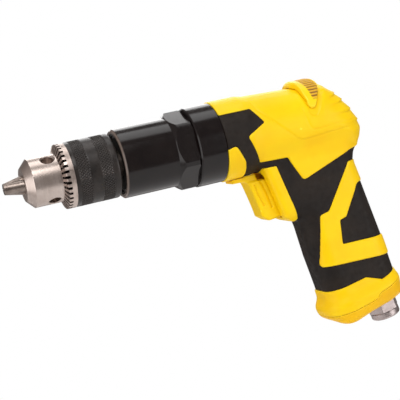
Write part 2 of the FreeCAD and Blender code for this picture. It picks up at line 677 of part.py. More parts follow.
def pistol_housing():
    """Moulded housing: barrel, neck, grip and foot in one."""
    return FORM.fuse(foot_flange()).cut([RUBBER] + housing_cavities())


shaped("pistol_housing", pistol_housing())
shaped("grip_rubber", RUBBER.cut(housing_cavities()))


def exhaust_cap():
    """Cap under the foot with exhaust slots and a hole for the inlet."""
    bottom, top = val("cap_bottom"), val("cap_top")
    slab = rounded_slab(val("foot_length"), val("foot_width"), 20.5, bottom, top)
    rim = [e for e in slab.Edges if e.BoundBox.ZMax < bottom + 0.01]
    slab = slab.makeFillet(4.5, rim)
    hollow = rounded_slab(24, 20, 9.9, bottom + 3, top + 1)
    hollow.translate(Vector(-10, 0, 0))
    slots = [Part.makeBox(3, 18, 6, Vector(-20 + 5.5 * i, -9, bottom - 1)) for i in range(4)]
    offset = val("inlet_offset")
    inlet = rod((offset, 0, bottom - 1), (offset, 0, top + 1), val("inlet_dia") / 2 - 2)
    screws = [rod((x, y, bottom - 1), (x, y, top + 1), 1.6) for x, y in SCREW_PLACES]
    heads = [rod((x, y, bottom - 1), (x, y, bottom + 2.5), 2.9) for x, y in SCREW_PLACES]
    return at_foot(slab.cut(slots + [inlet, plate(TOE, 40)] + screws + heads).cut(hollow))


def cap_screw(x, y):
    bottom = val("cap_bottom")
    head = rod((x, y, bottom + 0.3), (x, y, bottom + 2.5), 2.8)
    shank = rod((x, y, bottom + 2.5), (x, y, 10.5), 1.4)
    cross = Part.makeBox(3.4, 0.8, 1.2, Vector(x - 1.7, y - 0.4, bottom))
    return head.fuse(shank).cut([cross, cross.copy().rotated(Vector(x, y, 0), Vector(0, 0, 1), 90)])


shaped("exhaust_cap", exhaust_cap())
shaped("cap_screws", at_foot(Part.makeCompound([cap_screw(x, y) for x, y in SCREW_PLACES])))
shaped("muffler_felt", foot_rod(-12, val("cap_top") + 0.5, 30, 10.2))


# ---------------------------------------------------------------- trigger, throttle valve and inlet

def trigger():
    """Finger trigger with a nose that slides along the underside of the housing."""
    body = plate([(55.8, -28), (56.2, -30), (64.7, -30.4), (66.4, -31), (67.3, -33), (69.2, -40.2), (71.2, -49.7),
                  (72.4, -56.6), (76.6, -59.4), (90, -58), (90, -31.5), (74, -31), (73.4, -28)],
                 val("trigger_width") / 2)
    edges = [e for e in body.Edges if abs(e.tangentAt(e.FirstParameter).y) < 0.1 and e.BoundBox.XMax < 73]
    hole = rod((80, 0, val("rod_height")), (91, 0, val("rod_height")), val("rod_dia") / 2)
    return body.makeFillet(1.2, edges).cut(hole)


shaped("trigger", trigger())
shaped("trigger_rod", rod((80, 0, val("rod_height")), (112.5, 0, val("rod_height")), val("rod_dia") / 2))
shaped("trigger_bushing", ring(97, 107, val("rod_dia") / 2 + val("fit"), 4).translated(
    Vector(0, 0, val("rod_height"))))


def throttle_valve():
    """Tilt valve: the rod pushes the stem over and the head rocks open on the front of its rim."""
    station, seat = val("stem_station"), val("seat_height")
    head = rod((station, 0, seat - 2.5), (station, 0, seat), 6.5)
    stem = rod((station, 0, seat), (station, 0, seat + 18), 2)
    return head.fuse(stem)


def valve_seat():
    station, seat = val("stem_station"), val("seat_height")
    return rod((station, 0, seat), (station, 0, seat + 3), 8.5).cut(
        rod((station, 0, seat - 1), (station, 0, seat + 4), 3.6))


def throttle_spring():
    """Coil spring under the valve head."""
    station = val("stem_station")
    helix = Part.makeHelix(2.6, 15.4, 4.4)
    wire_at = Part.Wire(Part.makeCircle(0.5, Vector(4.4, 0, 0), Vector(0, 1, 0)))
    coil = Part.Wire(helix.Edges).makePipeShell([wire_at], True, True)
    coil.translate(Vector(station, 0, val("seat_height") - 18.6))
    return coil


shaped("throttle_valve", throttle_valve())
shaped("valve_seat", valve_seat())
shaped("throttle_spring", throttle_spring())


def inlet_bushing():
    """Steel inlet: hexagon, groove and rounded collar outside, threaded pipe inside the grip."""
    bottom, offset = val("inlet_bottom"), val("inlet_offset")
    radius = val("inlet_dia") / 2
    size = (radius - 0.4) / math.cos(math.radians(30))
    corners = [Vector(size * math.cos(math.radians(a)), size * math.sin(math.radians(a)), bottom + 5.2)
               for a in range(0, 360, 60)]
    hexagon = Part.Face(Part.makePolygon(corners + corners[:1]))
    hexagon = hexagon.extrude(Vector(0, 0, val("cap_bottom") - bottom - 5.2))
    hexagon = hexagon.common(rod((0, 0, bottom), (0, 0, 20), radius + 0.9))
    collar = rod((0, 0, bottom), (0, 0, bottom + 4.6), radius)
    collar = collar.makeFillet(1.6, [e for e in collar.Edges if e.BoundBox.ZMax < bottom + 0.01])
    waist = rod((0, 0, bottom + 4.6), (0, 0, bottom + 5.2), radius - 0.8)
    pipe = rod((0, 0, val("cap_bottom")), (0, 0, 19.5), radius - 2)
    whole = fused([hexagon, collar, waist, pipe])
    thread = rod((0, 0, bottom - 1), (0, 0, bottom + 15), val("inlet_thread") / 2)
    passage = rod((0, 0, bottom), (0, 0, 30), 4.5)
    whole = whole.cut([thread, passage])
    whole.translate(Vector(offset, 0, 0))
    return at_foot(whole)


shaped("inlet_bushing", inlet_bushing())
shaped("inlet_screen", foot_rod(val("inlet_offset"), 0, 5, 4.5))

# ---------------------------------------------------------------- check and write

doc.recompute()
os.makedirs("parts", exist_ok=True)
for thing in doc.Objects:
    if "Invalid" in thing.State or "Error" in thing.State:
        raise RuntimeError(f"{thing.Label} failed: {thing.State}")
for part in subparts:
    if part.Shape.isNull() or not part.Shape.isValid() or part.Shape.Volume <= 0:
        raise RuntimeError(f"{part.Label} has no valid shape")
    part.Shape.exportStep(f"parts/{part.Label}.step")
box = Part.makeCompound([part.Shape for part in subparts]).BoundBox
extent = (box.XMin, box.XMax, box.YMin, box.YMax, box.ZMin, box.ZMax)
print(len(subparts), "nodes", [round(v, 2) for v in extent])
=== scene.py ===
"""Looks of the pistol-grip air drill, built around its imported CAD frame.

Shapes are described in millimetres in the drill's own axes: X along the spindle towards the rear, Z up.
The moulded pieces are smooth fields (negative inside) that are turned into meshes.
"""
import json
import math
import bpy
import numpy as np
from mathutils import Matrix, Vector


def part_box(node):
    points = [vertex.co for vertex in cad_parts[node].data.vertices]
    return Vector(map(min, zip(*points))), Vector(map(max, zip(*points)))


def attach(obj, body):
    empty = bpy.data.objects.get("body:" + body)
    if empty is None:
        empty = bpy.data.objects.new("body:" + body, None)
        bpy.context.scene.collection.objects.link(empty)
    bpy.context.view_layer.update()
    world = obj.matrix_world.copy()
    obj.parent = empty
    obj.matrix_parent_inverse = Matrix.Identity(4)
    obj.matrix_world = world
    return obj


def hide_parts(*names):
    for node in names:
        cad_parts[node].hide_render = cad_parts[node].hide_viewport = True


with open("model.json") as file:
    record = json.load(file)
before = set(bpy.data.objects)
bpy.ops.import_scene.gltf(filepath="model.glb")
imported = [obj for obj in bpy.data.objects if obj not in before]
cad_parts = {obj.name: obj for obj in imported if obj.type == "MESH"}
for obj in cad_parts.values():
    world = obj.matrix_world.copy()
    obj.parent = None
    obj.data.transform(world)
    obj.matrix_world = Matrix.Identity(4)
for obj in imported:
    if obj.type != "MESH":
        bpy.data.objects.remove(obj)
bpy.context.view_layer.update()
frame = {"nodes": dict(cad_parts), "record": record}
MM = 0.001
NODES = frame["nodes"]
CASE_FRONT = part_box("gear_case")[0][0]  # metres


# ---------------------------------------------------------------- field helpers

def smooth_min(a, b, k):
    """The smaller of two fields, blended over a width k where they meet."""
    h = np.clip(0.5 + 0.5 * (b - a) / k, 0, 1)
    return b * (1 - h) + a * h - k * h * (1 - h)


def smooth_max(a, b, k):
    """The larger of two fields, blended over a width k where they meet."""
    return -smooth_min(-a, -b, k)


def smooth_step(low, high, value):
    """0 below low and 1 above high, with a soft rise between them."""
    t = np.clip((value - low) / (high - low), 0, 1)
    return t * t * (3 - 2 * t)


def rounded(corners, steps=4):
    """A closed outline from (x, z, radius) corners, with an arc at each corner that has a radius."""
    count = len(corners)
    outline = []
    for i, (x, z, radius) in enumerate(corners):
        here = np.array([x, z], float)
        back = np.array(corners[i - 1][:2], float) - here
        ahead = np.array(corners[(i + 1) % count][:2], float) - here
        length_back, length_ahead = np.linalg.norm(back), np.linalg.norm(ahead)
        back, ahead = back / length_back, ahead / length_ahead
        angle = math.acos(float(np.clip(back @ ahead, -1, 1)))
        reach = radius / math.tan(angle / 2) if radius else 0
        reach = min(reach, 0.48 * length_back, 0.48 * length_ahead)
        if reach < 0.05:
            outline.append(here)
            continue
        for j in range(steps + 1):
            t = j / steps
            outline.append(here + back * reach * (1 - t) ** 2 + ahead * reach * t ** 2)
    return np.array(outline)


def segment_distance(a, b, x, z):
    """Distance from points to one straight segment."""
    dx, dz = b[0] - a[0], b[1] - a[1]
    t = np.clip(((x - a[0]) * dx + (z - a[1]) * dz) / (dx * dx + dz * dz), 0, 1)
    return np.hypot(x - a[0] - t * dx, z - a[1] - t * dz)


def path_distance(points, x, z):
    """Distance to an open line of points."""
    nearest = np.inf
    for a, b in zip(points, points[1:]):
        nearest = np.minimum(nearest, segment_distance(a, b, x, z))
    return nearest


def outline_distance(outline, x, z):
    """Distance to a closed outline, negative inside it."""
    nearest = np.inf
    inside = np.zeros(np.broadcast(x, z).shape, bool)
    for i in range(len(outline)):
        a, b = outline[i - 1], outline[i]
        if abs(a[0] - b[0]) + abs(a[1] - b[1]) < 1e-9:
            continue
        nearest = np.minimum(nearest, segment_distance(a, b, x, z))
        if a[1] != b[1]:
            crosses = (a[1] > z) != (b[1] > z)
            inside ^= crosses & (x < (b[0] - a[0]) * (z - a[1]) / (b[1] - a[1]) + a[0])
    return np.where(inside, -nearest, nearest)


def pillow(edge, y, half_width, rounding):
    """A slab across Y whose rim, edge = 0, is rounded over."""
    rim = np.maximum(rounding + edge, 0)
    face = np.maximum(np.abs(y) - (half_width - rounding), 0)
    return np.hypot(rim, face) - rounding


# ---------------------------------------------------------------- fields into meshes

def net(field, low, high, step):
    """Vertices and quads of the surface field = 0 inside a box, by a surface net."""
    axes = [np.arange(low[i], high[i] + step, step, dtype=np.float32) for i in range(3)]
    x, y, z = axes[0][:, None, None], axes[1][None, :, None], axes[2][None, None, :]
    values = np.broadcast_to(field(x, y, z), [len(a) for a in axes]).astype(np.float32)
    cells = [n - 1 for n in values.shape]
    strides = (cells[1] * cells[2], cells[2], 1)
    owners, places, quads = [], [], []
    for axis in range(3):
        first = [slice(None)] * 3
        second = [slice(None)] * 3
        first[axis], second[axis] = slice(None, -1), slice(1, None)
        a, b = values[tuple(first)], values[tuple(second)]
        at = np.argwhere((a < 0) != (b < 0))
        va, vb = a[tuple(at.T)], b[tuple(at.T)]
        u, v = (axis + 1) % 3, (axis + 2) % 3
        keep = (at[:, u] > 0) & (at[:, v] > 0) & (at[:, u] < cells[u]) & (at[:, v] < cells[v])
        at, va, vb = at[keep], va[keep], vb[keep]
        place = at.astype(np.float64)
        place[:, axis] += va / (va - vb)
        around = []
        for du, dv in ((1, 1), (0, 1), (0, 0), (1, 0)):
            cell = at.copy()
            cell[:, u] -= du
            cell[:, v] -= dv
            around.append(cell @ np.array(strides))
        quad = np.stack(around, 1)
        quad[va >= 0] = quad[va >= 0][:, ::-1]
        quads.append(quad)
        owners += around
        places += [place] * 4
    owners, places, quads = np.concatenate(owners), np.concatenate(places), np.concatenate(quads)
    cell_ids, index = np.unique(owners, return_inverse=True)
    total = np.bincount(index)
    points = np.stack([np.bincount(index, places[:, i]) / total for i in range(3)], 1)
    points = points * step + np.array(low)
    return points, np.searchsorted(cell_ids, quads)


def settle(field, points, rounds=2, reach=0.35):
    """Points moved onto field = 0 along its slope."""
    points = points.copy()
    tiny = 0.02
    for _ in range(rounds):
        x, y, z = points.T
        value = field(x, y, z)
        slope = np.stack([field(x + tiny, y, z) - value, field(x, y + tiny, z) - value,
                          field(x, y, z + tiny) - value], 1) / tiny
        size = np.maximum((slope ** 2).sum(1), 0.25)
        move = -(value / size)[:, None] * slope
        length = np.maximum(np.linalg.norm(move, axis=1, keepdims=True), 1e-9)
        points += move * np.minimum(1, reach / length)
    return points


def mesh_piece(name, points, faces, material, body, node):
    """A smooth-shaded mesh object in the frame, standing for a CAD node."""
    mesh = bpy.data.meshes.new(name)
    mesh.from_pydata((np.asarray(points) * MM).tolist(), [], np.asarray(faces).tolist())
    mesh.validate()
    mesh.shade_smooth()
    mesh.materials.append(material)
    piece = bpy.data.objects.new(name, mesh)
    bpy.context.scene.collection.objects.link(piece)
    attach(piece, body)
    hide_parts(node)
    return piece


def moulded(name, field, low, high, step, material, body, node, slot):
    """A piece made from a field that is sampled every step between the corners low and high."""
    points, quads = net(field, low, high, step)
    mesh_piece(name, settle(field, points), quads, material, body, node)


# ---------------------------------------------------------------- shape of the housing

FRONT = 51.25  # rear face of the motor collar
SIDE_OUTLINE = rounded([
    (20, 27.5, 0), (71, 27.5, 6), (76.5, 26.4, 6), (109, 25.1, 0), (127, 25.2, 10), (133, 24.2, 8),
    (140.5, 17.4, 0), (144, 13.9, 12), (148.3, 8.2, 12), (152.2, 2.2, 12), (155, -4.6, 6), (157, -10.5, 8),
    (154.6, -18, 8), (149.3, -24.2, 5), (138, -25, 0), (109, -25.1, 0), (76.5, -26.4, 6), (71, -27.5, 6),
    (20, -27.5, 0)])
BARREL_RADIUS = ([71, 76.5, 109], [27.5, 26.4, 25.1])  # stations along X, and the radius at each
GRIP_OUTLINE = rounded([
    (78.5, -8, 0), (77.6, -27, 2), (85.3, -59.6, 2.5), (91, -63.3, 3), (97, -65.4, 2), (97.9, -70.5, 3),
    (100.3, -91, 30), (105, -116.3, 30), (108, -136, 0), (166, -136, 0), (161.4, -113, 30),
    (158.2, -90, 40), (154, -68.8, 30), (149.8, -47.5, 20), (146.6, -33, 6), (149.3, -22, 3), (147, -6, 0)])
GRIP_HALF_WIDTH = ([-130, -112, -88, -58, -30, -10], [19.4, 18.2, 17.0, 17.3, 18.0, 19.0])  # at heights Z
GRIP_FILLET = 6.0  # between barrel and grip
FIN_EDGES = [
    ((127, 21.5), (139.5, 20.5)), ((126.5, 12.8), (143, 15.9)), ((125.6, 8.6), (148, 10.2)),
    ((125.3, 1.7), (152.5, 2.6)), ((120, -5.6), (156.3, -5.7))]
FIN_HEIGHT = 1.25
PANEL_LINES = [
    [(75.5, 26), (76.8, 22), (78.3, 16.4), (89.7, 3.9), (101.3, -7.4), (105.5, -9.6), (112, -9.4),
     (128.4, -8.2), (140, -7.6)],
    [(109.2, 11), (111.6, -1.1), (113.6, -4.2), (119.5, -4.8), (129.9, -3.9), (150, -4.4)]]
PANEL = np.array(PANEL_LINES[0] + [(160, -6), (160, 40), (75, 40)])
PANEL_LIFT = 0.35  # how far the panel above the first line stands out
LINE_DEPTH, LINE_WIDTH = 0.32, 0.55
MARK = ((126.2, 17.8), (129.4, 19.4))  # index mark beside the lever
MARK_DEPTH, MARK_WIDTH = 0.45, 0.4


def fins(x, z):
    """Height of the overlapping ribs down the back of the barrel: each rises to its lower edge."""
    below = []
    for (ax, az), (bx, bz) in FIN_EDGES:
        length = math.hypot(bx - ax, bz - az)
        below.append(((x - ax) * (bz - az) - (z - az) * (bx - ax)) / length)
    height = 0
    for upper, lower in zip(below, below[1:]):
        share = np.clip(upper / np.maximum(upper - lower, 0.01), 0, 1)
        inside = (upper > 0) & (lower <= 0)
        edge = np.clip((1 - share) / 0.1, 0, 1)
        height = height + np.where(inside, share ** 1.3 * edge, 0)
    return FIN_HEIGHT * (height * smooth_step(125, 136, x))


def side_details(x, z):
    """Depth of the panel lines and the index mark on the sides of the barrel, less the panel's lift."""
    depth = 0
    for line in PANEL_LINES:
        depth = depth + LINE_DEPTH * np.exp(-(path_distance(line, x, z) / LINE_WIDTH) ** 2)
    depth = depth + MARK_DEPTH * np.exp(-(segment_distance(*MARK, x, z) / MARK_WIDTH) ** 4)
    outside_panel = smooth_step(-0.5, 0.5, outline_distance(PANEL, x, z))
    return depth - PANEL_LIFT * (1 - outside_panel)


def body_form(x, y, z):
    """Outside of the barrel and grip, without foot, recesses and two-colour pattern."""
    radius = np.interp(x, *BARREL_RADIUS)
    barrel = pillow(outline_distance(SIDE_OUTLINE, x, z) - fins(x, z), y, radius, radius)
    rounding = 3.5 + 10.5 * smooth_step(84, 101, x + 0.10 * (z + 60))  # tight in front, full behind
    grip = pillow(outline_distance(GRIP_OUTLINE, x, z), y, np.interp(z, *GRIP_HALF_WIDTH), rounding)
    form = smooth_min(barrel, grip, GRIP_FILLET)
    return form + side_details(x, z) * smooth_step(10, 16, np.abs(y))


# ---------------------------------------------------------------- foot, seam and colours

FOOT_RAKE = math.radians(11)
FOOT_AT = (134.5, -131)
FOOT_HALF = (30.9, 21.0)  # half length and half width of the foot's plan
FOOT_CORNER = 19.5  # radius of the plan's corners
FOOT_TOP = 9.5
FOOT_RIM = 4.0  # rounding of the foot's edges
FOOT_FILLET = 5.5  # between grip and foot
TOE_AT, TOE_FACING = (-30.6, 2.0), (-0.805, -0.597)  # bevel under the front of the foot, in the foot's axes
SEAM = ([-34, -25, -14, -2, 4.5, 8.5, 15.5, 22, 33], [3, 1.2, 0.7, 0.9, 1.6, 4.6, 5.2, 6.2, 7.4])
SEAM_GAP = 0.12  # each side of the seam
RELIEF = 0.8  # how far the yellow stands above the dark overmould
# The dark overmould seen from the side: corner points (x, z, radius), the same on both sides
DARK_BODY = rounded([
    (40, 17.8, 0), (73.9, 17.8, 0.6), (80.6, 7.4, 0.8), (66.6, 0.6, 2.2), (74.2, -18.6, 1.0),
    (94.2, -19.4, 1.6), (103.2, -37.2, 3.2), (141.5, -23.6, 4), (160, -22, 0), (160, -31.5, 0),
    (138, -31.5, 2), (117.2, -61.8, 2.5), (110.2, -63.4, 2.2), (104.9, -96.8, 2), (106.2, -99.2, 1.6),
    (175, -101.4, 0), (175, -111.3, 0), (163, -111.4, 6), (146, -116.6, 1.2), (134.6, -112.6, 1.2),
    (119.8, -115.3, 14), (107, -117.2, 10), (94, -113.9, 0), (85, -70, 0), (85, -66.2, 0), (92, -66.2, 0.8),
    (95.2, -62.2, 0.8), (85.4, -23.4, 1.2), (76.6, -23.2, 0.6), (76.6, -29, 0), (64.4, -29, 0),
    (64.4, -22.7, 0.6), (63.4, -15.4, 8), (57.2, -3.6, 2.6), (40, -8.5, 0)])
DARK_PATCH = rounded([
    (175, -46.8, 0), (149, -46.8, 0), (141.6, -47.5, 4), (129, -68.4, 1.6), (124, -69.8, 1.4),
    (122.8, -86.4, 1.2), (175, -87.4, 0)])


def foot_axes(x, z):
    """The foot's own two axes: along the foot towards the rear, and up."""
    dx, dz = x - FOOT_AT[0], z - FOOT_AT[1]
    c, s = math.cos(FOOT_RAKE), math.sin(FOOT_RAKE)
    return dx * c + dz * s, dz * c - dx * s


def rounded_corner(a, b):
    """Two faces meeting square at the outer corner of a form that is later grown by its rounding."""
    return np.hypot(np.maximum(a, 0), np.maximum(b, 0)) + np.minimum(np.maximum(a, b), 0)


def foot_form(x, y, z):
    """Flared foot with its exhaust cap, in the foot's raked axes."""
    along, up = foot_axes(x, z)
    plan = rounded_corner(np.abs(along) - (FOOT_HALF[0] - FOOT_CORNER),
                          np.abs(y) - (FOOT_HALF[1] - FOOT_CORNER)) - FOOT_CORNER
    slab = rounded_corner(plan + FOOT_RIM, up - FOOT_TOP + FOOT_RIM) - FOOT_RIM
    toe = TOE_FACING[0] * (along - TOE_AT[0]) + TOE_FACING[1] * (up - TOE_AT[1])
    return smooth_max(slab, toe, FOOT_RIM)


def seam(x, z):
    """Height above the seam between the housing and the exhaust cap."""
    along, up = foot_axes(x, z)
    return up - np.interp(along, *SEAM)


def pattern(x, z):
    """Distance to the dark overmould's outline, negative on the dark side."""
    return np.minimum(outline_distance(DARK_BODY, x, z), outline_distance(DARK_PATCH, x, z))


def outer_form(x, y, z):
    """Body and foot blended into one."""
    return smooth_min(body_form(x, y, z), foot_form(x, y, z), FOOT_FILLET)


# ---------------------------------------------------------------- reversing lever

LEVER_RADIUS = 27.0  # radius at which the lever's outline is measured round the barrel
LEVER_TURN = math.radians(12)  # each way
LEVER_GAP = 0.45
LEVER_UNDERSIDE, RECESS_FLOOR = 25.35, 24.9  # radii
LEVER_CREST = ([0, 17, 24, 32], [29.55, 29.3, 27.7, 26.5])  # arc from the top, and the outside radius there
RIB_PITCH = 2.35  # between the ribs across the lever's crown
RIB_DEPTH = 0.85
LEVER_HALF = rounded([
    (110.6, -60, 0), (110.6, 5, 0), (112.6, 10, 4), (113.3, 21, 6), (114.4, 26.2, 2), (113.9, 28.2, 1.5),
    (114.9, 31.8, 2.4), (118.6, 31.9, 2.4), (121.6, 27, 5), (124.4, 21, 6), (127.6, 13, 6), (127.9, -60, 0)])


def lever_outline(x, around):
    """Distance to the lever's outline; around is the arc from the top, the same on both sides."""
    return outline_distance(LEVER_HALF, x, around)


def around_barrel(y, z):
    """Radius from the spindle axis and arc length from the top at the lever's radius."""
    return np.hypot(y, z), np.abs(np.arctan2(y, z)) * LEVER_RADIUS


def lever_recess(x, y, z):
    """Space swept by the lever as it turns."""
    radius, arc = around_barrel(y, z)
    swing = LEVER_TURN * LEVER_RADIUS
    swept = np.minimum(lever_outline(x, arc), lever_outline(x, arc - swing))
    swept = np.minimum(swept, lever_outline(x, arc - swing / 2))
    return smooth_max(swept - LEVER_GAP, RECESS_FLOOR - radius, 0.8)


def lever_field(x, y, z):
    """Reversing lever: a thick ribbed crown that thins into a rounded tab on each side."""
    radius, arc = around_barrel(y, z)
    outside = np.interp(arc, *LEVER_CREST)
    outside = outside - 3.6 * (1 - smooth_step(109.6, 113.8, x)) ** 2  # slopes down to its front edge
    outside = outside - 0.8 * smooth_step(123, 128.5, x)  # and a little to its rear edge
    ribs = 0.5 - 0.5 * np.cos(2 * math.pi * (arc + 1.0) / RIB_PITCH)
    band = smooth_step(115.2, 116.6, x - 0.13 * arc) * (1 - smooth_step(25, 27.5, arc))
    outside = outside - RIB_DEPTH * band * ribs ** 2
    body = smooth_max(lever_outline(x, arc), radius - outside, 0.9)
    return smooth_max(body, LEVER_UNDERSIDE - radius, 0.3)


# ---------------------------------------------------------------- trigger

TRIGGER_OUTLINE = rounded([
    (55.8, -25.0, 0), (55.9, -29.9, 0.8), (64.4, -30.2, 1.5), (66.6, -31.4, 2), (67.4, -34, 3),
    (69.3, -41.5, 20), (71.3, -50.5, 12), (72.3, -56.2, 1.6), (76.8, -59.6, 1.6), (90.5, -58.2, 0),
    (90.5, -31.2, 0), (74.2, -30.8, 1), (73.2, -25.0, 0)])
TRIGGER_HALF_WIDTH = ([-31.5, -30.4], [8.3, 7.2])  # at heights Z: the nose is slimmer than the body
TRIGGER_TOP = 27.95  # radius of the nose's top under the collar
TRIGGER_FLUTES = [  # line and width
    ([(71.2, -34), (72.4, -41), (75, -48.5)], 0.8), ([(75.4, -31), (78.4, -40), (80.4, -50.5)], 0.9)]
FLUTE_DEPTH = 0.9
TRIGGER_WELL = ((70, -8.95, -59.9), (97, 8.95, -28.1))
NOSE_WELL = ((68, -7.8, -32), (80.5, 7.8, -20))  # entered by the nose when the trigger is pulled
NOSE_WELL_ROOF = 26.95  # radius


def trigger_field(x, y, z):
    """Finger trigger with shallow flutes on its sides and a nose under the barrel."""
    half = np.interp(z, *TRIGGER_HALF_WIDTH)
    body = pillow(outline_distance(TRIGGER_OUTLINE, x, z), y, half, 1.6)
    top = TRIGGER_TOP - 0.75 * smooth_step(64.4, 65.4, x)  # follows the step in the barrel
    body = smooth_max(body, top - np.hypot(y, z), 0.5)
    flutes = 0
    for line, width in TRIGGER_FLUTES:
        flutes = flutes + np.exp(-(path_distance(line, x, z) / width) ** 2)
    return body + FLUTE_DEPTH * flutes * smooth_step(5, 8, np.abs(y))


def block(x, y, z, low, high):
    """Distance to a box, negative inside it."""
    spans = zip((x, y, z), low, high)
    x_out, y_out, z_out = (np.abs(at - (a + b) / 2) - (b - a) / 2 for at, a, b in spans)
    return np.maximum(np.maximum(x_out, y_out), z_out)


def trigger_pocket(x, y, z):
    """Room for the trigger's body and, under the barrel, for its nose."""
    nose = np.maximum(block(x, y, z, *NOSE_WELL), NOSE_WELL_ROOF - np.hypot(y, z))
    return np.minimum(block(x, y, z, *TRIGGER_WELL), nose)


# ---------------------------------------------------------------- moulded pieces of the housing

OVERMOULD_SEAT = 3.2  # depth of the channel for the overmould under the housing's outside
OVERMOULD_THICKNESS = 2.2
CAP_BOTTOM = ([-24, -12, 0, 12], [-8.8, -7.8, -6.2, -5.8])  # along the foot, and up
CAP_DRAFT = 0.22
INLET_ALONG, INLET_HOLE = 14.5, 9.6
SLOTS_ALONG = -10.25  # middle of the row of four exhaust slots
SLOT_PITCH = 5.5
SLOT_HALF = (1.4, 9)  # along and across the foot
SLOT_ROW_HALF = 11
SLOT_ROOF = -2
SCREWS = ((-15, -13), (-15, 13), (5, -13.5), (5, 13.5))  # in the foot's axes
SCREW_HOLE, SCREW_SEAT = 3.0, -3.2


def housing_field(x, y, z):
    """Yellow housing, down to the seam."""
    form = outer_form(x, y, z)
    channel = smooth_max(pattern(x, z), -(form + OVERMOULD_SEAT), 0.3)
    whole = smooth_max(form, -channel, 1.1)
    whole = np.maximum(whole, SEAM_GAP - seam(x, z))
    whole = smooth_max(whole, -lever_recess(x, y, z), 0.5)
    whole = smooth_max(whole, -trigger_pocket(x, y, z), 0.6)
    return np.maximum(whole, FRONT - x)


def overmould_field(x, y, z):
    """Dark skin lying in the housing's channel, below the yellow."""
    form = outer_form(x, y, z) + RELIEF
    skin = np.maximum(form, -(form + OVERMOULD_THICKNESS))
    skin = np.maximum(skin, pattern(x, z) - 0.25)
    skin = smooth_max(skin, -trigger_pocket(x, y, z), 0.6)
    return np.maximum(skin, FRONT - x)


def cap_field(x, y, z):
    """Exhaust cap under the seam, with slots, screw holes and the hole for the inlet."""
    along, up = foot_axes(x, z)
    above_seam = seam(x, z)
    draft = CAP_DRAFT * np.maximum(above_seam * -1, 0)
    cap = smooth_max(outer_form(x, y, z) + draft, np.interp(along, *CAP_BOTTOM) - up, 5.0)
    cap = smooth_max(cap, above_seam + SEAM_GAP, 0.4)
    cap = smooth_max(cap, INLET_HOLE - np.hypot(along - INLET_ALONG, y), 0.6)
    from_slot = (along - SLOTS_ALONG + SLOT_PITCH / 2) % SLOT_PITCH - SLOT_PITCH / 2
    slots = np.maximum(np.abs(from_slot) - SLOT_HALF[0], np.abs(along - SLOTS_ALONG) - SLOT_ROW_HALF)
    slots = np.maximum(np.maximum(slots, np.abs(y) - SLOT_HALF[1]), up - SLOT_ROOF)
    cap = smooth_max(cap, -slots, 0.5)
    for screw_along, screw_y in SCREWS:
        hole = np.maximum(np.hypot(along - screw_along, y - screw_y) - SCREW_HOLE, up - SCREW_SEAT)
        cap = smooth_max(cap, -hole, 0.4)
    return cap


# ---------------------------------------------------------------- materials

def srgb(red, green, blue):
    """Linear colour from 0-255 screen values."""
    def linear(value):
        value /= 255
        return value / 12.92 if value <= 0.04045 else ((value + 0.055) / 1.055) ** 2.4
    return (linear(red), linear(green), linear(blue), 1)


